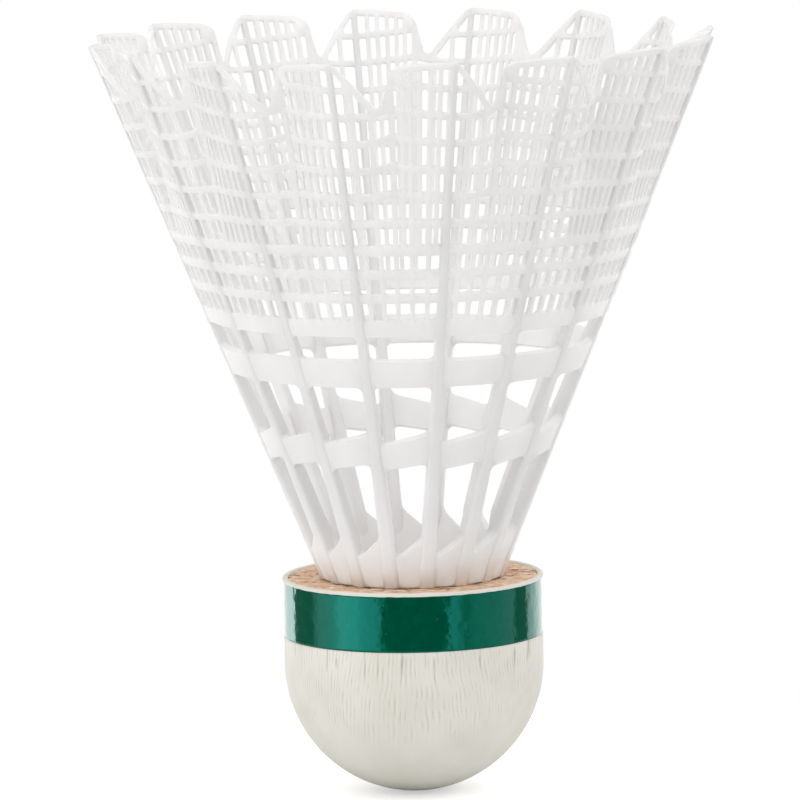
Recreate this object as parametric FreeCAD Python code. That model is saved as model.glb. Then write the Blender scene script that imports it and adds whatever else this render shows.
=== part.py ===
import FreeCAD, Part
import math
import os
from FreeCAD import Vector

# Badminton shuttlecock with a cork head and a moulded nylon skirt.  Millimetres.
# The origin is the lowest point of the nose and +Z runs up the axis to the skirt's mouth.
# Azimuth is in degrees about +Z, from -Y (the front) towards +X.

# ---- driving dimensions: head -------------------------------------------------------
HEAD_R = 13.5              # outside radius of the covered head
COVER_T = 0.55             # thickness of the skin
CORK_TOP_Z = 22.6          # flat top of the cork
RIM_FLARE = 0.1            # how far the skin's upper edge stands out past the head
RIM_H = 0.25               # height of that upper edge above the tape
BAND_LOW_Z = 16.55         # lower edge of the tape
BAND_H = 5.8               # width of the tape
BAND_T = 0.12              # thickness of the tape, sunk into the skin

# ---- driving dimensions: skirt ------------------------------------------------------
STEMS = 16
PITCH = 360.0 / STEMS
FIRST_STEM = 9.2           # azimuth of the first stem
SKIRT_FOOT_R = 9.6         # outside radius of the stems where they meet the cork
SKIRT_SLOPE = 0.412        # growth of that radius for each millimetre of height
TIP_Z = 78.75              # peak of each petal, at its stem

COLLAR_DROP = 0.6          # how far the collar's wall lies inside the stems' outer faces
COLLAR_T = 0.95            # wall of the collar and of its spigot
COLLAR_LOW_Z = 25.7        # crown of the collar, low end of each slanted edge
COLLAR_HIGH_Z = 27.8       # crown of the collar, high end of each slanted edge
SPIGOT_TOP_R = SKIRT_FOOT_R - COLLAR_DROP   # spigot that is glued into the cork, at its top
SPIGOT_END_R = 7.8
SPIGOT_DEPTH = 8.0

# stem sections: height, width, radial depth
STEM_SECTIONS = [
    (CORK_TOP_Z, 1.85, 2.1),
    (36.0, 1.55, 1.6),
    (48.0, 1.20, 1.15),
    (60.0, 0.82, 0.8),
    (TIP_Z, 0.60, 0.55),
]
STEM_INNER_SHARE = 0.75    # width of a stem's inner face against its outer face

# rings: height of the lower and upper edge at the left and at the right of each gap
LOWER_RING = (35.4, 38.2, 36.1, 39.4)
MIDDLE_RING = (44.5, 47.3, 44.5, 47.3)
RING_T = 0.85
RING_DROP = 0.15           # how far the rings lie inside the stems' outer faces

# net panel: a thin sheet with windows between two neighbouring stems
NET_LOW_Z = 50.0
NET_T = 0.42
NET_DROP = 0.1
NET_TOP_Z = 79.4
THREAD_W = 0.45
FOLD_SHARE = 0.48          # the fold's place between a stem (0) and the next one (1)
FOLD_W = 0.6               # width of the thick thread along the fold
# threads as shares of the pitch: the coarse foot of the net, and the fine part above it
COARSE_THREADS = (0.157, 0.315, FOLD_SHARE, 0.65, 0.823)
FINE_THREADS = (0.15, 0.3, FOLD_SHARE, 0.57, 0.645, 0.728, 0.813, 0.895)
NET_BASE_H = 1.7           # solid band at the foot of the net
# rings of the net: height of the centre line and height of the section
THICK_HOOPS = [(54.05, 0.85), (56.6, 0.88), (59.15, 0.95)]
THIN_HOOPS = [(62.0, 0.62), (64.8, 0.6), (67.5, 0.58), (70.35, 0.56), (73.2, 0.54), (76.0, 0.52)]
# depth of the fold at each height, 0 up to the last thick hoop
FOLD_DEPTH = [(59.15, 0.0), (62.0, 0.5), (64.8, 1.0), (67.5, 1.5), (70.35, 1.87), (NET_TOP_Z, 2.3)]
# share of that depth across the panel
FOLD_PROFILE = [(0.0, 0.0), (0.24, 0.12), (FOLD_SHARE, 1.0), (0.7, 0.48), (1.0, 0.0)]
# outline of the petals across one panel: share of the pitch, height
PETAL_EDGE = [(0.0, TIP_Z), (0.05, 78.4), (0.26, 75.15), (0.36, 73.7), (0.395, 73.9),
              (FOLD_SHARE, 76.9), (0.57, 77.8), (1.0, TIP_Z)]
PETAL_BORDER = 0.6         # height of the solid border under the outline

SIN_HALF_ANGLE = math.sin(math.atan(SKIRT_SLOPE))


# ---- helpers ------------------------------------------------------------------------
def polar(azimuth, radius, z):
    """Point at an azimuth, a radius and a height."""
    a = math.radians(azimuth)
    return Vector(radius * math.sin(a), -radius * math.cos(a), z)


def between(table, x):
    """Value at x on a table of (x, value) joined by straight lines."""
    if x <= table[0][0]:
        return table[0][1]
    for (x0, v0), (x1, v1) in zip(table, table[1:]):
        if x <= x1:
            return v0 + (v1 - v0) * (x - x0) / (x1 - x0)
    return table[-1][1]


def skirt_r(z):
    """Radius of the cone that holds the stems' outer faces."""
    return SKIRT_FOOT_R + SKIRT_SLOPE * (z - CORK_TOP_Z)


def fold_in(share, z):
    """How far the net stands inside the cone at a share of the pitch and a height."""
    return between(FOLD_DEPTH, z) * between(FOLD_PROFILE, share)


def solid_of_revolution(points):
    """Solid swept about Z by a closed outline of (radius, z) points and three-point arcs."""
    edges = []
    here = Vector(points[0][0], 0, points[0][1])
    for step in points[1:] + [points[0]]:
        there = Vector(step[0], 0, step[1])
        if len(step) == 4:
            edges.append(Part.Arc(here, Vector(step[2], 0, step[3]), there).toShape())
        else:
            edges.append(Part.makeLine(here, there))
        here = there
    face = Part.Face(Part.Wire(edges))
    return face.revolve(Vector(0, 0, 0), Vector(0, 0, 1), 360)


def closed_solid(loops):
    """Solid through a stack of loops with the same number of points, skinned by triangles."""
    faces = []
    for low, high in zip(loops, loops[1:]):
        for i in range(len(low)):
            j = (i + 1) % len(low)
            faces.append(flat_face([low[i], low[j], high[j]]))
            faces.append(flat_face([low[i], high[j], high[i]]))
    for loop in (loops[0], loops[-1]):
        faces.extend(cap_faces(loop))
    solid = Part.Solid(Part.Shell(faces))
    if solid.Volume < 0:
        solid.reverse()
    return solid


def cap_faces(loop):
    """Faces across a strip-shaped loop, from its first half to its second half."""
    half = len(loop) // 2
    back = loop[:half - 1:-1]
    faces = []
    for i in range(half - 1):
        faces.append(flat_face([loop[i], loop[i + 1], back[i + 1]]))
        faces.append(flat_face([loop[i], back[i + 1], back[i]]))
    return faces


def flat_face(points):
    return Part.Face(Part.makePolygon(points + [points[0]]))


def through_wall(corners, inner_r, outer_r):
    """Straight-sided cutter through the skirt's wall: corners are (azimuth, z) on the cone."""
    middle = sum(azimuth for azimuth, _ in corners) / len(corners)
    outward = polar(middle, 1, 0)
    sideways = polar(middle + 90, 1, 0)
    points = []
    for azimuth, z in corners:
        offset = skirt_r(z) * math.sin(math.radians(azimuth - middle))
        points.append(outward * inner_r + sideways * offset + Vector(0, 0, z))
    return flat_face(points).extrude(outward * (outer_r - inner_r))


def turned(shape, count):
    """A copy of a shape, turned by a number of stem pitches."""
    copy = shape.copy()
    copy.rotate(Vector(0, 0, 0), Vector(0, 0, 1), PITCH * count)
    return copy


# ---- head ---------------------------------------------------------------------------
def head_outline(radius, top_z):
    """Bullet outline: a half-round nose and a straight side, closed along the axis."""
    low_z = HEAD_R - radius
    quarter = radius * math.sqrt(0.5)
    return [(0, low_z), (radius, HEAD_R, quarter, HEAD_R - quarter), (radius, top_z), (0, top_z)]


def make_cork_core():
    """Natural cork body with a blind tapered socket for the skirt's spigot."""
    body = solid_of_revolution(head_outline(HEAD_R - COVER_T, CORK_TOP_Z))
    socket = Part.makeCone(SPIGOT_END_R, SPIGOT_TOP_R, SPIGOT_DEPTH,
                           Vector(0, 0, CORK_TOP_Z - SPIGOT_DEPTH))
    return body.cut(socket)


def make_head_cover():
    """Skin over the nose and the side, sunk under the tape and flared at its upper edge."""
    side_top = CORK_TOP_Z
    sunk_r = HEAD_R - BAND_T
    inner_r = HEAD_R - COVER_T
    outer_q = HEAD_R * math.sqrt(0.5)
    inner_q = inner_r * math.sqrt(0.5)
    return solid_of_revolution([
        (0, 0),
        (HEAD_R, HEAD_R, outer_q, HEAD_R - outer_q),
        (HEAD_R, BAND_LOW_Z),
        (sunk_r, BAND_LOW_Z),
        (sunk_r, BAND_LOW_Z + BAND_H),
        (HEAD_R + RIM_FLARE, BAND_LOW_Z + BAND_H),
        (HEAD_R + RIM_FLARE, side_top - RIM_H / 2),
        (HEAD_R, side_top),
        (inner_r, side_top),
        (inner_r, HEAD_R),
        (0, COVER_T, inner_q, HEAD_R - inner_q),
    ])


def make_base_band():
    """Thin glossy tape round the head, flush with the skin below it."""
    return solid_of_revolution([
        (HEAD_R - BAND_T, BAND_LOW_Z),
        (HEAD_R, BAND_LOW_Z),
        (HEAD_R, BAND_LOW_Z + BAND_H),
        (HEAD_R - BAND_T, BAND_LOW_Z + BAND_H),
    ])


# ---- skirt --------------------------------------------------------------------------
def make_stem():
    """One quill: a bar along the cone that narrows and thins from the cork to the tip."""
    loops = []
    for z, width, depth in STEM_SECTIONS:
        outer_r = skirt_r(z)
        inner_r = outer_r - depth
        outer_half = math.degrees(width / 2 / outer_r)
        inner_half = math.degrees(width * STEM_INNER_SHARE / 2 / inner_r)
        loops.append([
            polar(FIRST_STEM - outer_half, outer_r, z),
            polar(FIRST_STEM + outer_half, outer_r, z),
            polar(FIRST_STEM + inner_half, inner_r, z),
            polar(FIRST_STEM - inner_half, inner_r, z),
        ])
    stem = closed_solid(loops)
    foot = solid_of_revolution([
        (0, CORK_TOP_Z - 1),
        (skirt_r(CORK_TOP_Z - 1) - COLLAR_DROP, CORK_TOP_Z - 1),
        (skirt_r(COLLAR_HIGH_Z) - COLLAR_DROP, COLLAR_HIGH_Z),
        (0, COLLAR_HIGH_Z),
    ])
    return stem.cut(foot)


def make_collar(stem):
    """Fluted cup at the skirt's foot, with a slanted crown, and its spigot inside the cork."""
    outer_top = skirt_r(COLLAR_HIGH_Z) - COLLAR_DROP
    end_z = CORK_TOP_Z - SPIGOT_DEPTH
    cup = solid_of_revolution([
        (SPIGOT_END_R, end_z),
        (SPIGOT_TOP_R, CORK_TOP_Z),
        (outer_top, COLLAR_HIGH_Z),
        (outer_top - COLLAR_T, COLLAR_HIGH_Z),
        (SPIGOT_TOP_R - COLLAR_T, CORK_TOP_Z),
        (SPIGOT_END_R - COLLAR_T, end_z),
    ])
    left = FIRST_STEM
    right = FIRST_STEM + PITCH
    above = COLLAR_HIGH_Z + 1
    notch = through_wall([(left, COLLAR_LOW_Z), (right, COLLAR_HIGH_Z), (right, above), (left, above)],
                         SKIRT_FOOT_R / 2, 2 * SKIRT_FOOT_R)
    return cup.cut([turned(notch, k) for k in range(STEMS)])


def ring_segment(edges, stem):
    """The stretch of a ring between two stems: edges are low and high, at left and right."""
    left_low, left_high, right_low, right_high = edges
    loops = []
    steps = 3
    for i in range(steps + 1):
        share = i / steps
        azimuth = FIRST_STEM + PITCH * share
        low = left_low + (right_low - left_low) * share
        high = left_high + (right_high - left_high) * share
        loop = []
        for z, drop in ((low, RING_DROP), (high, RING_DROP),
                        (high, RING_DROP + RING_T), (low, RING_DROP + RING_T)):
            loop.append(polar(azimuth, skirt_r(z) - drop, z))
        loops.append(loop)
    return closed_solid(loops).cut([stem, turned(stem, 1)])


def make_ring(edges, stem):
    """All the stretches of one ring, each a solid that meets the stems at its two ends."""
    segment = ring_segment(edges, stem)
    return Part.makeCompound([turned(segment, k) for k in range(STEMS)])


def net_sheet():
    """The net without its windows: a thin folded sheet from one stem to the next."""
    levels = [NET_LOW_Z, THICK_HOOPS[-1][0]] + [z for z, _ in THIN_HOOPS] + [NET_TOP_Z]
    loops = []
    for z in levels:
        loop = []
        for share, _ in FOLD_PROFILE:
            loop.append(polar(FIRST_STEM + PITCH * share, skirt_r(z) - NET_DROP - fold_in(share, z), z))
        for share, _ in reversed(FOLD_PROFILE):
            inset = NET_DROP + NET_T + fold_in(share, z)
            loop.append(polar(FIRST_STEM + PITCH * share, skirt_r(z) - inset, z))
        loops.append(loop)
    return closed_solid(loops)


def lifted(share, z):
    """Height of a hoop's edge: it rises where the net folds inward, square to the cone."""
    return z + SIN_HALF_ANGLE * fold_in(share, z)


def thread_sides(threads, z):
    """(left, right) shares of the windows between the stems and the threads at a height."""
    pitch_mm = math.radians(PITCH) * skirt_r(z)
    stem_half = between([(s[0], s[1]) for s in STEM_SECTIONS], z) / 2 / pitch_mm
    sides = []
    left = stem_half
    for share in threads:
        width = THREAD_W
        if share == FOLD_SHARE:
            width += (FOLD_W - THREAD_W) * min(1.0, between(FOLD_DEPTH, z))
        half = width / 2 / pitch_mm
        sides.append((left, share - half))
        left = share + half
    sides.append((left, 1 - stem_half))
    return sides


def net_windows():
    """Every window of one net panel, as wedges that pass through the sheet."""
    hoops = [(NET_LOW_Z + NET_BASE_H / 2, NET_BASE_H)] + THICK_HOOPS + THIN_HOOPS
    hoops.append((NET_TOP_Z, THREAD_W))
    wedges = []
    for (z0, h0), (z1, h1) in zip(hoops, hoops[1:]):
        low = z0 + h0 / 2
        high = z1 - h1 / 2
        threads = FINE_THREADS if low > THICK_HOOPS[-1][0] else COARSE_THREADS
        low_sides = thread_sides(threads, low)
        high_sides = thread_sides(threads, high)
        for (low_left, low_right), (high_left, high_right) in zip(low_sides, high_sides):
            corners = window_corners(low, high, low_left, low_right, high_left, high_right)
            if corners:
                wedges.append(through_wall(corners, skirt_r(low) - 6, skirt_r(high) + 4))
    return wedges


def window_corners(low, high, low_left, low_right, high_left, high_right):
    """Four corners of a window, kept under the petal's border, or nothing if it is too small."""
    least = 0.4
    left_top = min(lifted(high_left, high), between(PETAL_EDGE, high_left) - PETAL_BORDER)
    right_top = min(lifted(high_right, high), between(PETAL_EDGE, high_right) - PETAL_BORDER)
    left_low = lifted(low_left, low)
    right_low = lifted(low_right, low)
    if left_top - left_low < least or right_top - right_low < least:
        return None
    return [
        (FIRST_STEM + PITCH * low_left, left_low),
        (FIRST_STEM + PITCH * low_right, right_low),
        (FIRST_STEM + PITCH * high_right, right_top),
        (FIRST_STEM + PITCH * high_left, left_top),
    ]


def make_net_panel(stem):
    """Net between two stems: a sheet cut by the petals' outline, the stems and the windows."""
    above = NET_TOP_Z + 2
    tools = [stem, turned(stem, 1)]
    for (share0, z0), (share1, z1) in zip(PETAL_EDGE, PETAL_EDGE[1:]):
        a0 = FIRST_STEM + PITCH * share0
        a1 = FIRST_STEM + PITCH * share1
        tools.append(through_wall([(a0, z0), (a1, z1), (a1, above), (a0, above)],
                                  skirt_r(TIP_Z) - 8, skirt_r(TIP_Z) + 5))
    return net_sheet().cut(tools).cut(net_windows())


def check_solid(name, shape):
    """Print what was built, and stop if it isn't closed and valid."""
    print(f"{name:22s} solids {len(shape.Solids):3d}  faces {len(shape.Faces):5d}  "
          f"volume {shape.Volume:9.2f}  valid {shape.isValid()}")
    if not shape.Solids or not shape.isValid():
        raise ValueError(name + " isn't a valid solid")


def main():
    os.makedirs("parts", exist_ok=True)
    stem = make_stem()
    nodes = {
        "cork_core": make_cork_core(),
        "head_cover": make_head_cover(),
        "base_band": make_base_band(),
        "skirt_collar": make_collar(stem),
        "skirt_lower_ring": make_ring(LOWER_RING, stem),
        "skirt_middle_ring": make_ring(MIDDLE_RING, stem),
    }
    panel = make_net_panel(stem)
    for k in range(STEMS):
        nodes[f"skirt_stem_{k + 1:02d}"] = turned(stem, k)
        nodes[f"net_panel_{k + 1:02d}"] = turned(panel, k)
    for name, shape in nodes.items():
        check_solid(name, shape)
        shape.exportStep(f"parts/{name}.step")


main()
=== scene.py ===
import math
import bmesh
import bpy
from mathutils import Matrix, Vector, noise
from mathutils.geometry import delaunay_2d_cdt


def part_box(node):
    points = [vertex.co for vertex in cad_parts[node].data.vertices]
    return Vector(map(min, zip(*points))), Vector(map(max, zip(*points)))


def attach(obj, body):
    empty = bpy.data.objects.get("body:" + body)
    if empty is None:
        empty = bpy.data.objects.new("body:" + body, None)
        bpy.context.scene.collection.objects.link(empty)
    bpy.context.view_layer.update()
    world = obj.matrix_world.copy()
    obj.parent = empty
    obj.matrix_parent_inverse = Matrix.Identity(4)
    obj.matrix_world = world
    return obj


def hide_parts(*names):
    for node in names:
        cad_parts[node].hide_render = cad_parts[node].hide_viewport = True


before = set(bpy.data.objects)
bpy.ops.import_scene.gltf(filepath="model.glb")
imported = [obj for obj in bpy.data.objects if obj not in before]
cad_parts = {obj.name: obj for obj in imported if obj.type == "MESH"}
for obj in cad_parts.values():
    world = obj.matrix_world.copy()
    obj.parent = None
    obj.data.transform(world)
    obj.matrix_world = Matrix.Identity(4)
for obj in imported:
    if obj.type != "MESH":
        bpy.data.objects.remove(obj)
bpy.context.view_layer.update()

# A badminton shuttlecock: a cork head under a creased skin, a turn of glossy tape, and a
# one-piece nylon skirt of 16 stems, two rings and a fine net.  Shapes are worked out in
# millimetres and become metres when a mesh is made.
MM = 0.001
SAME_POINT = 1e-3                            # points closer than this become one


# ---- sizes ----------------------------------------------------------------------------
def lowest(node):
    """Lowest corner of a CAD node, in millimetres."""
    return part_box(node)[0] / MM


def highest(node):
    """Highest corner of a CAD node, in millimetres."""
    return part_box(node)[1] / MM


HEAD_R = highest("base_band").x              # side of the head and of the tape
RIM_R = highest("head_cover").x              # the skin's upper edge stands out a little
RIM_Z = highest("head_cover").z
CORK_R = highest("cork_core").x
CORK_TOP_Z = highest("cork_core").z
BAND_LOW_Z = lowest("base_band").z
BAND_HIGH_Z = highest("base_band").z
SPIGOT_END_Z = lowest("skirt_collar").z
TIP_Z = highest("skirt_stem_01").z
NET_LOW_Z = lowest("net_panel_01").z
LOWER_RING_LOW = lowest("skirt_lower_ring").z
LOWER_RING_HIGH = highest("skirt_lower_ring").z
MIDDLE_RING_LOW = lowest("skirt_middle_ring").z
MIDDLE_RING_HIGH = highest("skirt_middle_ring").z
CROWN_Z = highest("skirt_collar").z

STEMS = sum(name.startswith("skirt_stem_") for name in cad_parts)
PITCH = 360.0 / STEMS
FIRST_STEM = 9.2                             # azimuth of the first stem, from the front
FOOT_R = 9.6                                 # the stems' outer faces where they meet the cork
SLOPE = 0.412                                # growth of that radius with height
SIN_SLOPE = math.sin(math.atan(SLOPE))
COS_SLOPE = math.cos(math.atan(SLOPE))

TAPE_T = 0.12                                # how far the tape is sunk into the skin
SPIGOT_TOP_R = FOOT_R - 0.6                  # the spigot, which is glued into the cork's socket
SPIGOT_END_R = 7.8
SPIGOT_T = 0.95


# ---- numbers and curves ---------------------------------------------------------------
def smooth(x, low, high):
    """0 below low, 1 above high, and an even rise between them."""
    t = min(1.0, max(0.0, (x - low) / (high - low)))
    return t * t * (3 - 2 * t)


def between(table, x):
    """Value at x on a table of (x, value), joined by straight lines."""
    if x <= table[0][0]:
        return table[0][1]
    for (x0, v0), (x1, v1) in zip(table, table[1:]):
        if x <= x1:
            return v0 + (v1 - v0) * (x - x0) / (x1 - x0)
    return table[-1][1]


def polar(azimuth, radius, z):
    """Point at an azimuth in degrees from the front, a radius and a height."""
    a = math.radians(azimuth)
    return Vector((radius * math.sin(a), -radius * math.cos(a), z))


# ---- meshes ---------------------------------------------------------------------------
def new_piece(name, points, faces, material):
    """Object at the origin from points in millimetres, with a material."""
    mesh = bpy.data.meshes.new(name)
    mesh.from_pydata([p * MM for p in points], [], faces)
    mesh.materials.append(material)
    piece = bpy.data.objects.new(name, mesh)
    bpy.context.scene.collection.objects.link(piece)
    return piece


def tidy_faces(mesh):
    """Merges doubles, points every face outwards and shades them smooth."""
    bm = bmesh.new()
    bm.from_mesh(mesh)
    bmesh.ops.remove_doubles(bm, verts=bm.verts, dist=SAME_POINT * MM)
    bmesh.ops.recalc_face_normals(bm, faces=bm.faces)
    bm.to_mesh(mesh)
    bm.free()
    mesh.shade_smooth()


def lathe(name, profile, steps, material, shift=None):
    """Closed turned piece: profile is a list of (radius, z); a radius of 0 is a pole.
    shift moves each point: it gets the azimuth, radius and z, and gives the new radius and z."""
    points = []
    rows = []
    for radius, z in profile:
        if radius < 1e-6:
            rows.append([len(points)])
            points.append(Vector((0, 0, z)))
            continue
        rows.append(list(range(len(points), len(points) + steps)))
        for i in range(steps):
            azimuth = 360.0 * i / steps
            place = shift(azimuth, radius, z) if shift else (radius, z)
            points.append(polar(azimuth, *place))
    pairs = list(zip(rows, rows[1:]))
    if len(rows[0]) > 1:
        pairs.append((rows[-1], rows[0]))
    faces = []
    for low, high in pairs:
        for i in range(steps):
            j = (i + 1) % steps
            face = [low[i % len(low)], low[j % len(low)], high[j % len(high)], high[i % len(high)]]
            face = list(dict.fromkeys(face))
            if len(face) > 2:
                faces.append(face)
    piece = new_piece(name, points, faces, material)
    tidy_faces(piece.data)
    return piece


def run(start, end, steps):
    """Points (radius, z) along a straight line, the end left out."""
    return [(start[0] + (end[0] - start[0]) * i / steps, start[1] + (end[1] - start[1]) * i / steps)
            for i in range(steps)]


def quarter(radius, centre_z, steps, rising=True):
    """Points on the round nose from its pole to its side, or back down, the end left out."""
    angles = [math.pi / 2 * i / steps for i in range(steps)]
    if not rising:
        angles = [math.pi / 2 - a for a in angles]
    return [(radius * math.sin(a), centre_z - radius * math.cos(a)) for a in angles]


# ---- nodes ------------------------------------------------------------------------------
def add(tree, kind, inputs=None, **settings):
    """Adds a node, sets its properties, and sets or links its inputs by name or number."""
    node = tree.nodes.new(kind)
    for name, value in settings.items():
        setattr(node, name, value)
    for name, value in (inputs or {}).items():
        if isinstance(value, bpy.types.NodeSocket):
            tree.links.new(value, node.inputs[name])
        else:
            node.inputs[name].default_value = value
    return node


# ---- the repeat round the axis, as Geometry Nodes ---------------------------------------
def socket_id(tree, name):
    """Identifier of a tree's input, by its name."""
    sockets = tree.interface.items_tree
    return next(s.identifier for s in sockets if s.name == name and s.in_out == "INPUT")


def repeat_tree():
    """Copies a sector round Z, joins the copies where they meet and gives them a material."""
    tree = bpy.data.node_groups.new("Repeat round the axis", "GeometryNodeTree")
    tree.is_modifier = True
    tree.interface.new_socket("Sector", in_out="INPUT", socket_type="NodeSocketGeometry")
    tree.interface.new_socket("Count", in_out="INPUT", socket_type="NodeSocketInt")
    tree.interface.new_socket("Join Distance", in_out="INPUT", socket_type="NodeSocketFloat")
    tree.interface.new_socket("Material", in_out="INPUT", socket_type="NodeSocketMaterial")
    tree.interface.new_socket("Geometry", in_out="OUTPUT", socket_type="NodeSocketGeometry")
    given = add(tree, "NodeGroupInput")
    points = add(tree, "GeometryNodePoints", {"Count": given.outputs["Count"]})
    index = add(tree, "GeometryNodeInputIndex")
    step = add(tree, "ShaderNodeMath", {0: math.tau, 1: given.outputs["Count"]}, operation="DIVIDE")
    angle = add(tree, "ShaderNodeMath", {
        0: index.outputs[0], 1: step.outputs[0]}, operation="MULTIPLY")
    turn = add(tree, "ShaderNodeCombineXYZ", {"Z": angle.outputs[0]})
    copies = add(tree, "GeometryNodeInstanceOnPoints", {
        "Points": points.outputs[0], "Instance": given.outputs["Sector"],
        "Rotation": turn.outputs[0]})
    real = add(tree, "GeometryNodeRealizeInstances", {"Geometry": copies.outputs[0]})
    joined = add(tree, "GeometryNodeMergeByDistance", {
        "Geometry": real.outputs[0], "Distance": given.outputs["Join Distance"]})
    painted = add(tree, "GeometryNodeSetMaterial", {
        "Geometry": joined.outputs[0], "Material": given.outputs["Material"]})
    add(tree, "NodeGroupOutput", {"Geometry": painted.outputs[0]})
    return tree


def round_the_axis(sector, tree, count, material):
    """The sector's object becomes the whole ring of its copies, as a plain mesh."""
    modifier = sector.modifiers.new("repeat", "NODES")
    modifier.node_group = tree
    modifier[socket_id(tree, "Count")] = count
    modifier[socket_id(tree, "Join Distance")] = 2 * SAME_POINT * MM
    modifier[socket_id(tree, "Material")] = material
    weighted = sector.modifiers.new("flat faces stay flat", "WEIGHTED_NORMAL")
    weighted.weight = 60
    seen = sector.evaluated_get(bpy.context.evaluated_depsgraph_get())
    mesh = bpy.data.meshes.new_from_object(seen)
    sector.modifiers.clear()
    old = sector.data
    sector.data = mesh
    mesh.name = sector.name
    bpy.data.meshes.remove(old)
    return sector


# ---- materials --------------------------------------------------------------------------
# a Mix node has its two colours on these inputs, and their mix on this output
A = 6
B = 7
MIXED = 2


def linear(code):
    """An sRGB hex colour, such as "#D9B595", as linear red, green, blue and alpha."""
    channels = [int(code[i:i + 2], 16) / 255 for i in (1, 3, 5)]
    return [c / 12.92 if c <= 0.04045 else ((c + 0.055) / 1.055) ** 2.4 for c in channels] + [1.0]


def new_material(name):
    """An empty node material: its tree, and the output that the shader goes to."""
    material = bpy.data.materials.new(name)
    material.use_nodes = True
    tree = material.node_tree
    tree.nodes.clear()
    return material, tree, add(tree, "ShaderNodeOutputMaterial")


def nylon(name, foot_share, net_share):
    """Injection-moulded natural nylon: milky white, satin, with the faint flow marks and the
    very fine grain that the steel mould leaves.  It lets light through, and more of it in the
    thin net than in the thick foot: the shares say how much."""
    material, tree, out = new_material(name)
    where = add(tree, "ShaderNodeTexCoord")
    # flow marks are about 3 mm across and 8 mm long, up the stems; the grain is 0.2 mm
    along = add(tree, "ShaderNodeMapping", {
        "Vector": where.outputs["Object"], "Scale": [1 / (3 * MM), 1 / (3 * MM), 1 / (8 * MM)]})
    flow = add(tree, "ShaderNodeTexNoise", {
        "Vector": along.outputs[0], "Scale": 1.0, "Detail": 4.0, "Roughness": 0.55})
    grain = add(tree, "ShaderNodeTexNoise", {
        "Vector": where.outputs["Object"], "Scale": 1 / (0.2 * MM), "Detail": 2.0})
    share = add(tree, "ShaderNodeMapRange", {
        "Value": flow.outputs[0], "From Min": 0.3, "From Max": 0.7})
    colour = add(tree, "ShaderNodeMix", {
        "Factor": share.outputs[0], A: linear("#F8F7F6"), B: linear("#FEFDFD")}, data_type="RGBA")
    rough = add(tree, "ShaderNodeMapRange", {
        "Value": share.outputs[0], "To Min": 0.34, "To Max": 0.48})
    fine = add(tree, "ShaderNodeBump", {
        "Height": grain.outputs[0], "Strength": 0.25, "Distance": 0.03 * MM})
    waves = add(tree, "ShaderNodeBump", {
        "Height": flow.outputs[0], "Strength": 0.35, "Distance": 0.35 * MM,
        "Normal": fine.outputs[0]})
    body = add(tree, "ShaderNodeBsdfPrincipled", {
        "Base Color": colour.outputs[MIXED], "Roughness": rough.outputs[0], "IOR": 1.53,
        "Subsurface Weight": 0.25, "Subsurface Radius": [1.0, 1.0, 1.0],
        "Subsurface Scale": 0.4 * MM, "Normal": waves.outputs[0]})
    through = add(tree, "ShaderNodeBsdfTranslucent", {
        "Color": colour.outputs[MIXED], "Normal": waves.outputs[0]})
    height = add(tree, "ShaderNodeSeparateXYZ", {0: where.outputs["Object"]})
    thin = add(tree, "ShaderNodeMapRange", {
        "Value": height.outputs["Z"], "From Min": CORK_TOP_Z * MM, "From Max": LOWER_RING_LOW * MM,
        "To Min": foot_share, "To Max": net_share})
    both = add(tree, "ShaderNodeMixShader", {
        0: thin.outputs[0], 1: body.outputs[0], 2: through.outputs[0]})
    tree.links.new(both.outputs[0], out.inputs["Surface"])
    return material


def skin():
    """Polyurethane-coated skin, cream white and matt: painted shade in the upright creases and the
    splits, which the mesh holds, a painted highlight on the ridges between them, and fine pores all
    over."""
    material, tree, out = new_material("coated_skin")
    where = add(tree, "ShaderNodeTexCoord")
    # the cream varies over about 5 mm; the pores are 0.3 mm
    tone = add(tree, "ShaderNodeTexNoise", {
        "Vector": where.outputs["Object"], "Scale": 1 / (5 * MM), "Detail": 3.0})
    share = add(tree, "ShaderNodeMapRange", {
        "Value": tone.outputs[0], "From Min": 0.35, "From Max": 0.65})
    base = add(tree, "ShaderNodeMix", {
        "Factor": share.outputs[0], A: linear("#DDDAD0"), B: linear("#E4E1D9")}, data_type="RGBA")
    crease = add(tree, "ShaderNodeAttribute", attribute_name="crease")
    # the ridges between the creases are painted paler: a painted highlight
    ridge_highlight = add(tree, "ShaderNodeMapRange", {
        "Value": crease.outputs["Fac"], "From Min": 0.0, "From Max": -0.2,
        "To Min": 0.0, "To Max": 0.3})
    ridges = add(tree, "ShaderNodeMix", {
        "Factor": ridge_highlight.outputs[0], A: base.outputs[MIXED], B: linear("#F1EFE6")}, data_type="RGBA")
    # the crease valleys and the splits are painted darker: painted shade
    crease_shade = add(tree, "ShaderNodeMapRange", {
        "Value": crease.outputs["Fac"], "From Min": 0.08, "From Max": 0.8,
        "To Min": 0.0, "To Max": 0.55})
    colour = add(tree, "ShaderNodeMix", {
        "Factor": crease_shade.outputs[0], A: ridges.outputs[MIXED], B: linear("#80755C")},
        data_type="RGBA")
    grain = add(tree, "ShaderNodeTexNoise", {
        "Vector": where.outputs["Object"], "Scale": 1 / (0.3 * MM), "Detail": 3.0})
    pores = add(tree, "ShaderNodeBump", {
        "Height": grain.outputs[0], "Strength": 0.3, "Distance": 0.05 * MM})
    body = add(tree, "ShaderNodeBsdfPrincipled", {
        "Base Color": colour.outputs[MIXED], "Roughness": 0.62, "IOR": 1.48,
        "Specular IOR Level": 0.35, "Normal": pores.outputs[0]})
    tree.links.new(body.outputs[0], out.inputs["Surface"])
    return material


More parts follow.
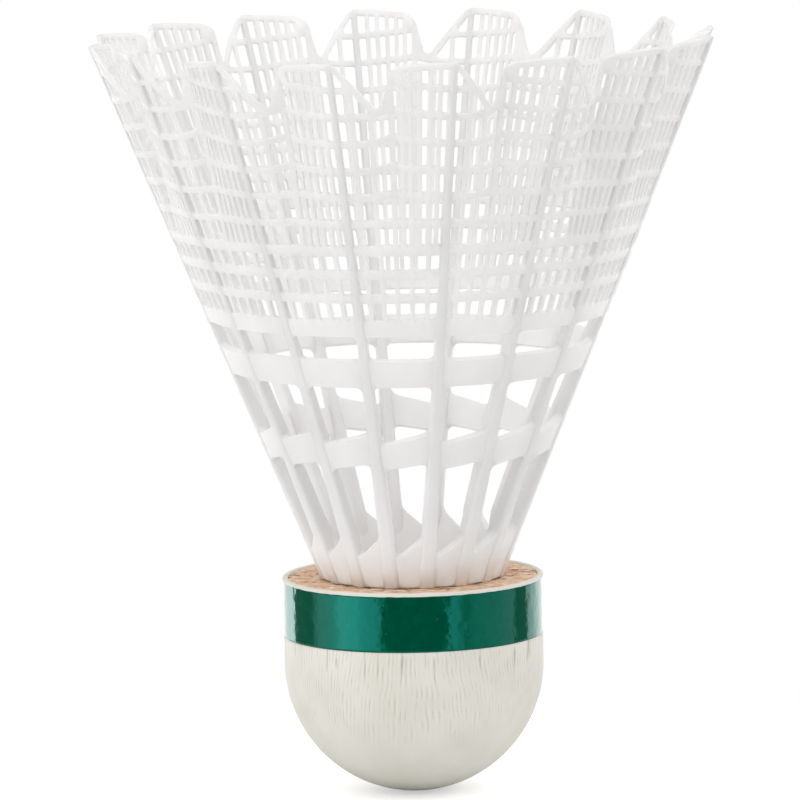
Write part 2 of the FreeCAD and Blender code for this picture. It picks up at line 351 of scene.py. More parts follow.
def tape():
    """Glossy dark-green film tape, stretched round the head: sharp reflections that ripple
    over small bubbles and over the cork's grain beneath it."""
    material, tree, out = new_material("film_tape")
    where = add(tree, "ShaderNodeTexCoord")
    # ripples of 1 mm down to 0.1 mm, and bubbles 1.1 mm apart
    ripples = add(tree, "ShaderNodeTexNoise", {
        "Vector": where.outputs["Object"], "Scale": 1 / (1.0 * MM), "Detail": 4.0,
        "Roughness": 0.5})
    bubbles = add(tree, "ShaderNodeTexVoronoi", {
        "Vector": where.outputs["Object"], "Scale": 1 / (1.1 * MM)})
    dots = add(tree, "ShaderNodeMapRange", {
        "Value": bubbles.outputs["Distance"], "From Min": 0.0, "From Max": 0.12,
        "To Min": 1.0, "To Max": 0.0})
    share = add(tree, "ShaderNodeMapRange", {
        "Value": ripples.outputs[0], "From Min": 0.3, "From Max": 0.7})
    tone = add(tree, "ShaderNodeMix", {
        "Factor": share.outputs[0], A: linear("#004630"), B: linear("#004E38")}, data_type="RGBA")
    wavy = add(tree, "ShaderNodeBump", {
        "Height": ripples.outputs[0], "Strength": 1.0, "Distance": 0.04 * MM})
    bubbly = add(tree, "ShaderNodeBump", {
        "Height": dots.outputs[0], "Strength": 0.3, "Distance": 0.05 * MM,
        "Normal": wavy.outputs[0]})
    body = add(tree, "ShaderNodeBsdfPrincipled", {
        "Base Color": tone.outputs[MIXED], "Roughness": 0.05, "IOR": 1.58,
        "Specular Tint": linear("#4CFFF2"), "Normal": bubbly.outputs[0]})
    tree.links.new(body.outputs[0], out.inputs["Surface"])
    return material


def cork():
    """Natural cork, cut and sanded: warm tan, with paler grain, dark pores and streaks."""
    material, tree, out = new_material("natural_cork")
    where = add(tree, "ShaderNodeTexCoord")
    # the grains are about 1.1 mm; the pores are streaks 0.8 mm by 1.8 mm
    grain = add(tree, "ShaderNodeTexNoise", {
        "Vector": where.outputs["Object"], "Scale": 1 / (1.1 * MM), "Detail": 6.0,
        "Roughness": 0.65})
    low = add(tree, "ShaderNodeMapRange", {
        "Value": grain.outputs[0], "From Min": 0.3, "From Max": 0.5})
    high = add(tree, "ShaderNodeMapRange", {
        "Value": grain.outputs[0], "From Min": 0.5, "From Max": 0.72})
    tan = add(tree, "ShaderNodeMix", {
        "Factor": low.outputs[0], A: linear("#C2906A"), B: linear("#E5C3A6")}, data_type="RGBA")
    base = add(tree, "ShaderNodeMix", {
        "Factor": high.outputs[0], A: tan.outputs[MIXED], B: linear("#F6E4D4")}, data_type="RGBA")
    streaks = add(tree, "ShaderNodeMapping", {
        "Vector": where.outputs["Object"],
        "Scale": [1 / (1.8 * MM), 1 / (0.8 * MM), 1 / (1.1 * MM)]})
    pores = add(tree, "ShaderNodeTexNoise", {
        "Vector": streaks.outputs[0], "Scale": 1.0, "Detail": 4.0, "Roughness": 0.6})
    dark = add(tree, "ShaderNodeMapRange", {
        "Value": pores.outputs[0], "From Min": 0.58, "From Max": 0.66})
    colour = add(tree, "ShaderNodeMix", {
        "Factor": dark.outputs[0], A: base.outputs[MIXED], B: linear("#84502F")}, data_type="RGBA")
    pits = add(tree, "ShaderNodeBump", {
        "Height": dark.outputs[0], "Strength": 0.8, "Distance": 0.25 * MM}, invert=True)
    rough = add(tree, "ShaderNodeBump", {
        "Height": grain.outputs[0], "Strength": 0.5, "Distance": 0.2 * MM,
        "Normal": pits.outputs[0]})
    body = add(tree, "ShaderNodeBsdfPrincipled", {
        "Base Color": colour.outputs[MIXED], "Roughness": 0.85, "IOR": 1.45,
        "Specular IOR Level": 0.25, "Normal": rough.outputs[0]})
    tree.links.new(body.outputs[0], out.inputs["Surface"])
    return material


def floor_paint():
    """Matt white board, lit so that it shows as white as the room behind it."""
    material, tree, out = new_material("white_board")
    body = add(tree, "ShaderNodeBsdfPrincipled", {
        "Base Color": linear("#F4F4F4"), "Roughness": 0.9, "Specular IOR Level": 0.1})
    path = add(tree, "ShaderNodeLightPath")
    glow = add(tree, "ShaderNodeMath", {
        0: path.outputs["Is Camera Ray"], 1: 0.45}, operation="MULTIPLY")
    lit = add(tree, "ShaderNodeEmission", {"Color": linear("#FFFFFF"), "Strength": glow.outputs[0]})
    both = add(tree, "ShaderNodeAddShader", {0: body.outputs[0], 1: lit.outputs[0]})
    tree.links.new(both.outputs[0], out.inputs["Surface"])
    return material


# ---- head -------------------------------------------------------------------------------
CREASE_GAP = 0.45
CREASES = round(math.tau * HEAD_R / CREASE_GAP)
CREASE_DEPTH = 0.035
SPLIT_DEPTH = 0.03
CREASE_FADE = (5.0, 9.5)                     # heights between which the creases grow in
SPLIT_FADE = (12.0, 15.5)                    # the same for the splits


def make_cork(material):
    """Bullet-shaped cork with a blind socket.  Its two cut faces are slightly pitted."""
    edge = (CORK_R - 0.12, CORK_TOP_Z)
    below_edge = (CORK_R, CORK_TOP_Z - 0.15)
    profile = quarter(CORK_R, HEAD_R, 12)
    profile += run((CORK_R, HEAD_R), below_edge, 4)
    profile += run(below_edge, edge, 2)
    profile += run(edge, (SPIGOT_TOP_R, CORK_TOP_Z), 26)
    profile += run((SPIGOT_TOP_R, CORK_TOP_Z), (SPIGOT_END_R, SPIGOT_END_Z), 6)
    profile += run((SPIGOT_END_R, SPIGOT_END_Z), (0, SPIGOT_END_Z), 16)
    profile += [(0, SPIGOT_END_Z)]
    sunk = 0.06

    def pitted(azimuth, radius, z):
        top = z > CORK_TOP_Z - 0.05
        bottom = z < SPIGOT_END_Z + 0.05 and radius < SPIGOT_END_R - 0.2
        if not (top or bottom):
            return radius, z
        spot = polar(azimuth, radius, z)
        rough = noise.noise(spot * 1.3) * 0.05 + noise.noise(spot * 3.1) * 0.03
        pit = max(0.0, noise.noise(spot * 0.9 + Vector((7, 3, 1))) - 0.35) * 0.9
        return radius, z - sunk + rough - pit
    return lathe("cork_body", profile, 420, material, pitted)


def crease_at(azimuth, z):
    """How deep the skin is creased at a place, from -0.5 on a ridge to 1 in a valley: narrow
    upright valleys that wander, come and go, and fade away towards the nose."""
    down = (BAND_LOW_Z - z) / 12
    turned = math.radians(azimuth - 9 * down * math.sin(math.radians(3 * azimuth)))
    across = Vector((math.sin(turned), math.cos(turned), 0)) * HEAD_R
    wander = noise.noise(across * 0.6 + Vector((0, 0, z * 0.45))) * 3.4
    wave = math.sin(turned * CREASES + wander)
    length = noise.noise(across * 1.5 + Vector((3, 0, z * 0.85)))
    amount = smooth(z, *CREASE_FADE) * (0.3 + 0.7 * smooth(length, -0.2, 0.3))
    return amount * (wave ** 2 if wave > 0 else wave * 0.5)


def split_at(azimuth, z):
    """Thin dark splits in the coating, 0 to 1: long upright lines just under the tape."""
    across = polar(azimuth, HEAD_R, 0)
    line = noise.noise(Vector((across.x * 0.7, across.y * 0.7, z * 0.035)))
    part = noise.noise(Vector((across.x * 0.6 + 9, across.y * 0.6, z * 0.3)))
    thin = 1 - smooth(abs(line), 0.015, 0.07)
    return smooth(z, *SPLIT_FADE) * smooth(part, 0.0, 0.2) * thin


def make_skin(material):
    """Skin over the cork: sunk under the tape, with a soft rolled rim and upright creases.
    Its "crease" attribute tells the material where they are; a split counts more."""
    seat_low = (HEAD_R - TAPE_T, BAND_LOW_Z)
    seat_high = (HEAD_R - TAPE_T, BAND_HIGH_Z)
    below_seat = (HEAD_R, BAND_LOW_Z - 0.06)
    under_rim = (RIM_R - 0.03, BAND_HIGH_Z + 0.02)
    rim_side = (RIM_R, BAND_HIGH_Z + 0.08)
    profile = quarter(HEAD_R, HEAD_R, 44)
    profile += run((HEAD_R, HEAD_R), below_seat, 8)
    profile += run(below_seat, seat_low, 3)
    profile += run(seat_low, seat_high, 4)
    profile += run(seat_high, under_rim, 2)
    profile += run(under_rim, rim_side, 2)
    rim_high = RIM_Z + 0.12
    middle = (RIM_R + CORK_R) / 2
    half = (RIM_R - CORK_R) / 2
    roll = 0.24
    steps = 8
    for i in range(steps + 1):
        a = math.pi * i / steps
        profile.append((middle + half * math.cos(a), rim_high - roll + roll * math.sin(a)))
    profile += run((CORK_R, rim_high - roll - 0.05), (CORK_R, HEAD_R), 4)
    profile += quarter(CORK_R, HEAD_R, 12, rising=False)
    profile += [(0, HEAD_R - CORK_R)]

    def is_outside(radius, z):
        return math.hypot(radius, min(0.0, z - HEAD_R)) > CORK_R + 0.2

    def creased(azimuth, radius, z):
        if not is_outside(radius, z):
            return radius, z
        if z > BAND_LOW_Z:
            spot = polar(azimuth, radius, z * 0.4)
            wave = noise.noise(spot * 1.1) * 0.05 if z > BAND_HIGH_Z else 0
            return radius - abs(wave), z + wave * 0.8 - 0.04
        out = Vector((radius, min(0.0, z - HEAD_R))).normalized()
        depth = CREASE_DEPTH * (1 + crease_at(azimuth, z)) + SPLIT_DEPTH * split_at(azimuth, z)
        return radius - out.x * depth, z - out.y * depth

    piece = lathe("head_skin", profile, 960, material, creased)
    creases = piece.data.attributes.new("crease", "FLOAT", "POINT")
    for vertex, value in zip(piece.data.vertices, creases.data):
        x, y, z = vertex.co / MM
        if z < BAND_LOW_Z and is_outside(math.hypot(x, y), z):
            azimuth = math.degrees(math.atan2(x, -y))
            # this value drives the painted shade in the valleys and splits and the painted
            # highlight on the ridges
            value.value = 0.4 * crease_at(azimuth, z) + 0.6 * split_at(azimuth, z)
    return piece


def make_tape(material):
    """One turn of tape with softened edges, a lapped end at the back and small ripples."""
    inner = HEAD_R - TAPE_T
    edge = 0.05
    profile = run((inner, BAND_LOW_Z), (HEAD_R - edge, BAND_LOW_Z), 1)
    profile += run((HEAD_R - edge, BAND_LOW_Z), (HEAD_R, BAND_LOW_Z + edge), 2)
    profile += run((HEAD_R, BAND_LOW_Z + edge), (HEAD_R, BAND_HIGH_Z - edge), 44)
    profile += run((HEAD_R, BAND_HIGH_Z - edge), (HEAD_R - edge, BAND_HIGH_Z), 2)
    profile += run((HEAD_R - edge, BAND_HIGH_Z), (inner, BAND_HIGH_Z), 1)
    profile += [(inner, BAND_HIGH_Z)]
    # the lap rises over 8 degrees and ends in a step
    lap_start = 164.0
    lap_end = 176.0
    lap_height = 0.05
    sunk = 0.055

    def rippled(azimuth, radius, z):
        if radius < HEAD_R - edge / 2:
            return radius, z
        spot = polar(azimuth, radius, z)
        ripple = noise.noise(spot * 0.9) * 0.012 + noise.noise(spot * 2.4) * 0.0025
        lap = smooth(azimuth, lap_start, lap_start + 8) - smooth(azimuth, lap_end, lap_end + 0.6)
        return radius - sunk + ripple + lap_height * lap, z
    return lathe("tape_band", profile, 500, material, rippled)


# ---- skirt ------------------------------------------------------------------------------
# A place on the skirt is a share of the pitch, 0 at one stem and 1 at the next, and a height
# up the cone.  The net is folded inward along a line between the two stems.
FOLD = 0.48
# how deep the fold is: height, depth
FOLD_DEPTH = [(59.2, 0.0), (60.6, 0.12), (62.15, 0.5), (65.0, 1.0), (67.8, 1.55), (70.6, 1.9),
              (TIP_Z, 2.3)]
# upright threads of one panel, as shares of the pitch
COARSE_THREADS = [0.157, 0.315, FOLD, 0.65, 0.823]
FINE_THREADS = [0.15, 0.3, FOLD, 0.57, 0.645, 0.728, 0.813, 0.895]
THREAD_W = 0.45
FOLD_W = 0.6                                 # the thread along the fold, from FOLD_FULL_Z up
FOLD_FULL_Z = 64.0
# hoops of the net above its base: height, width
HOOPS = [(54.05, 0.85), (56.6, 0.88), (59.15, 0.95), (62.0, 0.62), (64.8, 0.6),
         (67.5, 0.58), (70.35, 0.56), (73.2, 0.54), (76.0, 0.52)]
LAST_THICK_HOOP = 59.15
NET_BASE_H = 1.7
# the petal's edge: share of the pitch, height
PETAL = [(0.0, TIP_Z), (0.05, TIP_Z - 0.35), (0.12, TIP_Z - 1.35), (0.19, TIP_Z - 2.4),
         (0.26, TIP_Z - 3.6), (0.325, TIP_Z - 4.65), (0.36, TIP_Z - 5.05), (0.395, TIP_Z - 4.85),
         (0.43, TIP_Z - 3.6), (0.462, TIP_Z - 2.3), (0.5, TIP_Z - 1.5), (0.56, TIP_Z - 1.0),
         (0.68, TIP_Z - 0.65), (0.85, TIP_Z - 0.25), (1.0, TIP_Z)]
PETAL_BORDER = 0.58
SMALLEST_WINDOW = 0.45                       # square millimetres, beside the petal's border
EDGE_SOFTNESS = 0.09
# stem: height, width, depth
STEM_SHAPE = [(CORK_TOP_Z, 1.95, 0.7), (24.6, 1.9, 0.9), (26.4, 1.85, 1.9),
              (36.0, 1.55, 1.6), (43.0, 1.32, 1.35), (48.0, 1.2, 1.15),
              (54.0, 0.98, 0.95), (60.0, 0.82, 0.8), (70.0, 0.7, 0.66), (TIP_Z, 0.6, 0.55)]
# web between the stems: height, drop behind the stems' faces, thickness
WEB_SHAPE = [(CORK_TOP_Z, 0.1, 1.1), (CROWN_Z, 0.22, 0.95), (LOWER_RING_LOW, 0.15, 0.85),
             (MIDDLE_RING_HIGH, 0.12, 0.8), (NET_LOW_Z, 0.1, 0.5), (TIP_Z, 0.08, 0.42)]
STEM_WIDTH = [(height, width) for height, width, _ in STEM_SHAPE]
STEM_DEPTH = [(height, depth) for height, _, depth in STEM_SHAPE]
WEB_DROP = [(height, drop) for height, drop, _ in WEB_SHAPE]
WEB_THICK = [(height, thick) for height, _, thick in WEB_SHAPE]


def wall_r(height):
    """Radius of the cone that holds the stems' outer faces."""
    return FOOT_R + SLOPE * (height - CORK_TOP_Z)


def pitch_mm(height):
    """Distance round the cone from one stem to the next."""
    return math.radians(PITCH) * wall_r(height)


def fold_profile(share):
    """Share of the fold's depth across a panel: shallow right of a stem, steep at the fold."""
    share = min(1.0, max(0.0, share))
    if share < FOLD:
        return (share / FOLD) ** 3
    return 1 - ((share - FOLD) / (1 - FOLD)) ** 0.75


def skirt_point(share, height, inset):
    """Point of the skirt, a distance inside the stems' outer faces, square to the cone."""
    depth = inset + between(FOLD_DEPTH, height) * fold_profile(share)
    return polar(FIRST_STEM + PITCH * share,
                 wall_r(height) - depth * COS_SLOPE, height + depth * SIN_SLOPE)


def flat(share, height):
    """The same place on a flat pattern of the sector, in millimetres."""
    return Vector(((share - 0.5) * pitch_mm(height), height))


def unflat(spot):
    """Share and height of a place on the flat pattern."""
    return spot.x / pitch_mm(spot.y) + 0.5, spot.y


def stem_half(height):
    """Half a stem's width, as a share of the pitch."""
    return between(STEM_WIDTH, height) / 2 / pitch_mm(height)


def rounded(corners, radius, steps=2):
    """A closed outline with each corner turned into a short curve."""
    outline = []
    count = len(corners)
    for i, corner in enumerate(corners):
        before = corners[i - 1] - corner
        after = corners[(i + 1) % count] - corner
        reach = min(radius, before.length * 0.45, after.length * 0.45)
        start = corner + before.normalized() * reach
        end = corner + after.normalized() * reach
        for k in range(steps + 1):
            t = k / steps
            outline.append(start * (1 - t) ** 2 + corner * 2 * t * (1 - t) + end * t ** 2)
    return outline


def spaced(outline, longest):
    """The outline with its long edges divided, so that they follow the cone."""
    points = []
    for here, there in zip(outline, outline[1:] + outline[:1]):
        parts = max(1, math.ceil((there - here).length / longest))
        points += [here.lerp(there, k / parts) for k in range(parts)]
    return points


def stem_window(low_left, low_right, high_left, high_right, radius):
    """Window from stem to stem: heights of its four corners, and how round they are.  Its
    sides reach a little way under the stems."""
    under = 0.15
    corners = [
        flat(stem_half(low_left), low_left) - Vector((under, 0)),
        flat(1 - stem_half(low_right), low_right) + Vector((under, 0)),
        flat(1 - stem_half(high_right), high_right) + Vector((under, 0)),
        flat(stem_half(high_left), high_left) - Vector((under, 0)),
    ]
    return spaced(rounded(corners, radius, 5), 0.9)


def stem_windows():
    """The three windows under the net, from the collar's crown upwards.  The crown and the
    lower ring slant up towards the right."""
    crown_left = CROWN_Z - 2.1
    ring_low_right = LOWER_RING_LOW + 0.7
    ring_high_left = LOWER_RING_HIGH - 1.2
    long_window = stem_window(crown_left, CROWN_Z, LOWER_RING_LOW, ring_low_right, 0.9)
    ring_window = stem_window(ring_high_left, LOWER_RING_HIGH,
                              MIDDLE_RING_LOW, MIDDLE_RING_LOW, 0.95)
    short_window = stem_window(MIDDLE_RING_HIGH, MIDDLE_RING_HIGH, NET_LOW_Z, NET_LOW_Z, 0.75)
    return [long_window, ring_window, short_window]


def gaps(shares, height):
    """(left, right) shares of every gap between the stems and the threads at a height."""
    sides = [stem_half(height)]
    for share in shares:
        width = THREAD_W
        if share == FOLD:
            width += (FOLD_W - THREAD_W) * smooth(height, LAST_THICK_HOOP, FOLD_FULL_Z)
        half = width / 2 / pitch_mm(height)
        sides += [share - half, share + half]
    sides.append(1 - stem_half(height))
    return list(zip(sides[::2], sides[1::2]))


def under_border(share):
    """Highest place for a window under the petal's border, which is as thick on a slope."""
    step = 0.004
    rise = between(PETAL, share + step) - between(PETAL, share - step)
    slope = rise / (2 * step * pitch_mm(TIP_Z))
    return between(PETAL, share) - PETAL_BORDER * math.hypot(1, slope)


def net_windows():
    """Every window of one net panel, as outlines on the flat pattern."""
    hoops = [(NET_LOW_Z + NET_BASE_H / 2, NET_BASE_H)] + HOOPS + [(TIP_Z + 1, 0.5)]
    windows = []
    for (z0, h0), (z1, h1) in zip(hoops, hoops[1:]):
        low = z0 + h0 / 2
        high = z1 - h1 / 2
        shares = FINE_THREADS if low > LAST_THICK_HOOP else COARSE_THREADS
        for low_gap, high_gap in zip(gaps(shares, low), gaps(shares, high)):
            window = net_window(low, high, low_gap, high_gap)
            if window:
                windows.append(window)
    return windows


def net_window(low, high, low_gap, high_gap):
    """One window: whole where the petal is high enough, else cut along the petal's border."""
    left_low, right_low = low_gap
    left_high, right_high = high_gap
    corner_r = 0.2
    least = 0.3
    tops = (left_high, right_high, (left_high + right_high) / 2)
    if min(under_border(share) for share in tops) > high:
        corners = [flat(left_low, low), flat(right_low, low),
                   flat(right_high, high), flat(left_high, high)]
        return rounded(corners, corner_r)
    steps = 8
    top = []
    for i in range(steps + 1):
        share = right_high + (left_high - right_high) * i / steps
        height = min(high, under_border(share))
        if height > low + least:
            top.append(flat(share, height))
    if len(top) < 4:
        return None
    right = min(right_low, unflat(top[0])[0])
    left = max(left_low, unflat(top[-1])[0])
    corners = [flat(left, low), flat(right, low)] + top
    return rounded(corners, corner_r) if area(corners) > SMALLEST_WINDOW else None


def area(corners):
    """Area inside a closed outline, in square millimetres."""
    return abs(sum(a.x * b.y - b.x * a.y for a, b in zip(corners, corners[1:] + corners[:1]))) / 2


def sector_outline(low, high):
    """Outline of a sector of the web between two heights; None ends it at the petals' edge."""
    if high is not None:
        top = [flat(1, high), flat(0, high)]
    else:
        top = [flat(share, height) for share, height in reversed(PETAL)]
    return spaced([flat(0, low), flat(1, low)] + top, 0.6)


def web_sector(name, low, high, windows, material):
    """One sector of the web: a sheet with windows, thick, closed, and with softened edges."""
    loops = [sector_outline(low, high)]
    top = TIP_Z + 1 if high is None else high
    loops += [w for w in windows if min(p.y for p in w) < top and max(p.y for p in w) > low]
    spots = []
    edges = []
    areas = []
    for loop in loops:
        first = len(spots)
        spots += loop
        ids = list(range(first, len(spots)))
        edges += list(zip(ids, ids[1:] + ids[:1]))
        areas.append(ids)
    spots, _, faces, _, _, owners = delaunay_2d_cdt(spots, edges, areas, 1, 1e-5)
    kept = [list(face) for face, own in zip(faces, owners) if list(own) == [0]]
    used = sorted({i for face in kept for i in face})
    number = {old: new for new, old in enumerate(used)}
    kept = [[number[i] for i in face] for face in kept]
    outer = []
    inner = []
    sides = []
    for i in used:
        share, height = unflat(spots[i])
        drop = between(WEB_DROP, height)
        outer.append(skirt_point(share, height, drop))
        inner.append(skirt_point(share, height, drop + between(WEB_THICK, height)))
        sides.append(0 if abs(share) < 1e-4 else 1 if abs(share - 1) < 1e-4 else None)
    count = len(used)
    solid = kept + [[i + count for i in reversed(face)] for face in kept]
    loose = boundary(kept)
    for a, b in loose:
        if sides[a] is None or sides[a] != sides[b]:
            solid.append([b, a, a + count, b + count])
    piece = new_piece(name, outer + inner, solid, material)
    soften(piece.data, EDGE_SOFTNESS)
    return piece


def boundary(faces):
    """Directed edges that only one face uses."""
    directed = {(face[i], face[(i + 1) % len(face)]) for face in faces for i in range(len(face))}
    return [edge for edge in directed if (edge[1], edge[0]) not in directed]


def soften(mesh, width):
    """Rounds the edges between the sheet's faces and its walls."""
    bm = bmesh.new()
    bm.from_mesh(mesh)
    bend = math.radians(55)
    sharp = [e for e in bm.edges if len(e.link_faces) == 2 and e.calc_face_angle() > bend]
    bmesh.ops.bevel(bm, geom=sharp, offset=width * MM, offset_type="OFFSET", segments=1,
                    profile=0.5, affect="EDGES", clamp_overlap=True)
    bm.to_mesh(mesh)
    bm.free()
    mesh.shade_smooth()


def stem_section(height, width, depth, points=12):
    """Rounded section of a stem, square to the cone: broad outer face, narrower inner face."""
    taper = 0.14
    loop = []
    for i in range(points):
        a = math.tau * (i + 0.5) / points
        x = math.copysign(abs(math.cos(a)) ** 0.55, math.cos(a)) * width / 2
        y = math.copysign(abs(math.sin(a)) ** 0.6, math.sin(a)) * depth / 2
        x *= 1 - taper * (0.5 - y / depth)
        share = x / pitch_mm(height)
        azimuth = FIRST_STEM + PITCH * share
        inset = depth / 2 - y
        loop.append(polar(azimuth, wall_r(height) - inset * COS_SLOPE, height + inset * SIN_SLOPE))
    return loop


def make_stem(material):
    """One stem from the cork to the tip, which ends in a small dome."""
    dome_z = TIP_Z - 0.5
    sections = 22
    rise = dome_z - CORK_TOP_Z
    stations = [(CORK_TOP_Z + rise * i / sections, 1.0) for i in range(sections + 1)]
    stations += [(dome_z + 0.28, 0.85), (dome_z + 0.42, 0.5)]
    loops = [stem_section(z, between(STEM_WIDTH, z) * size, between(STEM_DEPTH, z) * size)
             for z, size in stations]
    points = [p for loop in loops for p in loop]
    wide = len(loops[0])
    faces = [list(range(wide))[::-1], [len(points) - wide + i for i in range(wide)]]
    for row in range(len(loops) - 1):
        for i in range(wide):
            j = (i + 1) % wide
            a = row * wide
            faces.append([a + i, a + j, a + wide + j, a + wide + i])
    piece = new_piece("skirt_stems", points, faces, material)
    tidy_faces(piece.data)
    return piece


def make_skirt():
    """Cup, rings and net, cut apart at heights where only the stems show, and the stems."""
    wall = nylon("moulded_nylon_wall", 0.12, 0.38)
    bar = nylon("moulded_nylon_bar", 0.12, 0.28)
    tree = repeat_tree()
    windows = stem_windows()
    cuts = [(min(p.y for p in w) + max(p.y for p in w)) / 2 for w in windows]
    windows += net_windows()
    bands = [
        ("skirt_cup", CORK_TOP_Z, cuts[0], ["skirt_collar"]),
        ("skirt_lower_ring_web", cuts[0], cuts[1], ["skirt_lower_ring"]),
        ("skirt_middle_ring_web", cuts[1], cuts[2], ["skirt_middle_ring"]),
        ("skirt_net", cuts[2], None, [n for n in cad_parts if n.startswith("net_panel_")]),
    ]
    made = []
    for name, low, high, nodes in bands:
        piece = web_sector(name, low, high, windows, wall)
        round_the_axis(piece, tree, STEMS, wall)
        made.append((piece, nodes))
    stems = round_the_axis(make_stem(bar), tree, STEMS, bar)
    made.append((stems, [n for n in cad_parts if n.startswith("skirt_stem_")]))
    made.append((make_spigot(wall), ["skirt_collar"]))
    return made


def make_spigot(material):
    """Tapered tube below the cup, glued into the cork's socket; its lip is inside the cup."""
    lip_z = CORK_TOP_Z + 0.8
    lip_r = SPIGOT_TOP_R - 0.65
    inner_top = SPIGOT_TOP_R - SPIGOT_T
    inner_end = SPIGOT_END_R - SPIGOT_T
    profile = run((SPIGOT_END_R, SPIGOT_END_Z), (SPIGOT_TOP_R, CORK_TOP_Z), 6)
    profile += run((SPIGOT_TOP_R, CORK_TOP_Z), (SPIGOT_TOP_R, lip_z), 2)
    profile += run((SPIGOT_TOP_R, lip_z), (lip_r, lip_z), 2)
    profile += run((lip_r, lip_z), (inner_top, CORK_TOP_Z), 2)
    profile += run((inner_top, CORK_TOP_Z), (inner_end, SPIGOT_END_Z), 6)
    profile += [(inner_end, SPIGOT_END_Z)]
    return lathe("skirt_spigot", profile, 160, material)


# ---- stage ------------------------------------------------------------------------------
ROOM_LIGHT = 0.82
# light from just below the horizon, which the tape mirrors: azimuth, strength
LOW_RING = [(-180, 1.1), (-150, 2.0), (-134, 3.6), (-132, 0.15), (-104, 0.15), (-94, 1.3),
            (-76, 2.0), (-68, 3.4), (-51, 3.3), (-43, 2.4), (-33, 2.3), (-26, 0.05),
            (29, 0.05), (33, 1.9), (42, 1.5), (47, 0.5), (56, 1.0), (101, 1.0), (104, 0.15),
            (121, 0.15), (124, 1.6), (145, 2.0), (180, 1.3)]
LOW_RING_MOST = 5.0                          # strength that a full white in the ramp stands for
LOW_RING_FADE_IN = (-0.36, -0.3)             # its lower and upper edges, as the Z of a direction
LOW_RING_FADE_OUT = (0.0, 0.08)


def make_floor():
    """Round white board that the head's nose stands on."""
    thick = 2.0
    profile = [(0.0, 0.0), (30.0, 0.0), (58.0, 0.0), (60.0, -thick), (0.0, -thick)]
    board = lathe("floor", profile, 128, floor_paint())


def make_light(name, azimuth, elevation, distance, size, power):
    """Rectangular softbox that faces the middle of the object."""
    middle = Vector((0, 0, 0.04))
    lamp = bpy.data.lights.new(name, "AREA")
    lamp.shape = "RECTANGLE"
    lamp.size, lamp.size_y = size
    lamp.energy = power
    box = bpy.data.objects.new(name, lamp)
    e = math.radians(elevation)
    box.location = polar(azimuth, distance * math.cos(e), distance * math.sin(e))
    aim = middle - box.location
    box.rotation_euler = aim.to_track_quat("-Z", "Y").to_euler()
    bpy.context.scene.collection.objects.link(box)


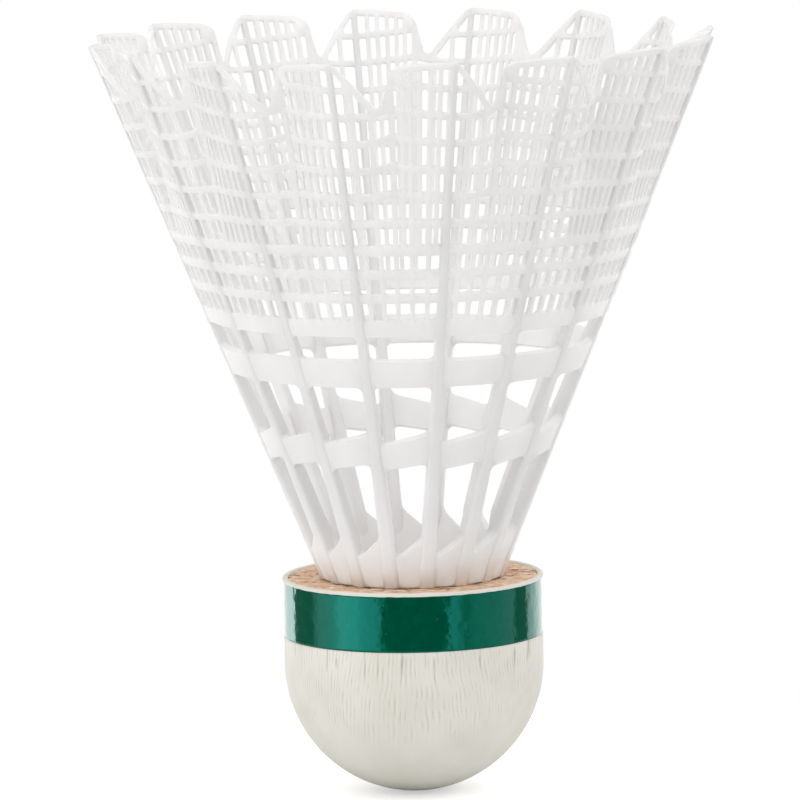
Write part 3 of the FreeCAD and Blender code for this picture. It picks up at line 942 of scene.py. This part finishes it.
def make_world():
    """White to the eye all round.  As light it is an even white room, with a low ring of
    bright and dark boards for the tape to mirror."""
    world = bpy.data.worlds.new("studio")
    bpy.context.scene.world = world
    world.use_nodes = True
    tree = world.node_tree
    tree.nodes.clear()
    way = add(tree, "ShaderNodeTexCoord")
    parts = add(tree, "ShaderNodeSeparateXYZ", {0: way.outputs["Generated"]})
    forward = add(tree, "ShaderNodeMath", {0: parts.outputs["Y"], 1: -1.0}, operation="MULTIPLY")
    azimuth = add(tree, "ShaderNodeMath", {
        0: parts.outputs["X"], 1: forward.outputs[0]}, operation="ARCTAN2")
    turn = add(tree, "ShaderNodeMapRange", {
        "Value": azimuth.outputs[0], "From Min": -math.pi, "From Max": math.pi})
    boards = add(tree, "ShaderNodeValToRGB", {"Fac": turn.outputs[0]})
    stops = boards.color_ramp.elements
    while len(stops) < len(LOW_RING):
        stops.new(1.0)
    for stop, (place, strength) in zip(stops, LOW_RING):
        stop.position = place / 360 + 0.5
        stop.color = [strength / LOW_RING_MOST] * 3 + [1.0]
    bright = add(tree, "ShaderNodeMath", {
        0: boards.outputs[0], 1: LOW_RING_MOST}, operation="MULTIPLY")
    above = add(tree, "ShaderNodeMapRange", {
        "Value": parts.outputs["Z"],
        "From Min": LOW_RING_FADE_IN[0], "From Max": LOW_RING_FADE_IN[1]})
    below = add(tree, "ShaderNodeMapRange", {
        "Value": parts.outputs["Z"],
        "From Min": LOW_RING_FADE_OUT[0], "From Max": LOW_RING_FADE_OUT[1],
        "To Min": 1.0, "To Max": 0.0})
    low = add(tree, "ShaderNodeMath", {
        0: above.outputs[0], 1: below.outputs[0]}, operation="MULTIPLY")
    light = add(tree, "ShaderNodeMix", {
        "Factor": low.outputs[0], "A": ROOM_LIGHT, "B": bright.outputs[0]})
    room = add(tree, "ShaderNodeBackground", {
        "Color": linear("#FFFFFF"), "Strength": light.outputs[0]})
    sight = add(tree, "ShaderNodeBackground", {"Color": linear("#FFFFFF"), "Strength": 1.0})
    path = add(tree, "ShaderNodeLightPath")
    both = add(tree, "ShaderNodeMixShader", {
        0: path.outputs["Is Camera Ray"], 1: room.outputs[0], 2: sight.outputs[0]})
    add(tree, "ShaderNodeOutputWorld", {"Surface": both.outputs[0]})


def make_camera():
    """Long lens a little above the skirt's mouth, rolled by a degree."""
    distance = 0.8797
    height = 0.15685
    down = math.radians(7.506)
    roll = math.radians(-1.089)
    side = math.radians(-0.063)
    lens = bpy.data.cameras.new("camera")
    lens.sensor_width = 36.0
    lens.lens = 384.9
    lens.clip_start = 0.05
    camera = bpy.data.objects.new("camera", lens)
    forward = Vector((math.sin(side) * math.cos(down), math.cos(side) * math.cos(down),
                      -math.sin(down)))
    right = Vector((math.cos(side), -math.sin(side), 0))
    up = right.cross(forward)
    x = right * math.cos(roll) + up * math.sin(roll)
    y = up * math.cos(roll) - right * math.sin(roll)
    turn = Matrix((x, y, -forward)).transposed().to_4x4()
    camera.matrix_world = Matrix.Translation((0, -distance, height)) @ turn
    bpy.context.scene.collection.objects.link(camera)
    bpy.context.scene.camera = camera


def make_stage():
    """Floor, white room, three softboxes and the camera."""
    make_floor()
    make_world()
    make_light("left_softbox", -63, 25, 0.55, (0.71, 0.6), 0.15)
    make_light("right_softbox", 71, 25, 0.55, (0.71, 0.6), 0.4)
    make_light("top_softbox", 0, 80, 0.7, (0.7, 0.7), 1.3)
    make_camera()
    bpy.context.scene.view_settings.view_transform = "Standard"


# ---- all of it --------------------------------------------------------------------------
def main():
    """Makes every piece, hangs it on the root body, hides the CAD parts that it replaces, and sets
    the stage.
    """
    head = [
        (make_cork(cork()), ["cork_core"], "cork"),
        (make_skin(skin()), ["head_cover"], "skin"),
        (make_tape(tape()), ["base_band"], "tape"),
    ]
    skirt = [(piece, nodes, "nylon") for piece, nodes in make_skirt()]
    for piece, nodes, slot in head + skirt:
        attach(piece, "root")
        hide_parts(*nodes)
    make_stage()


main()
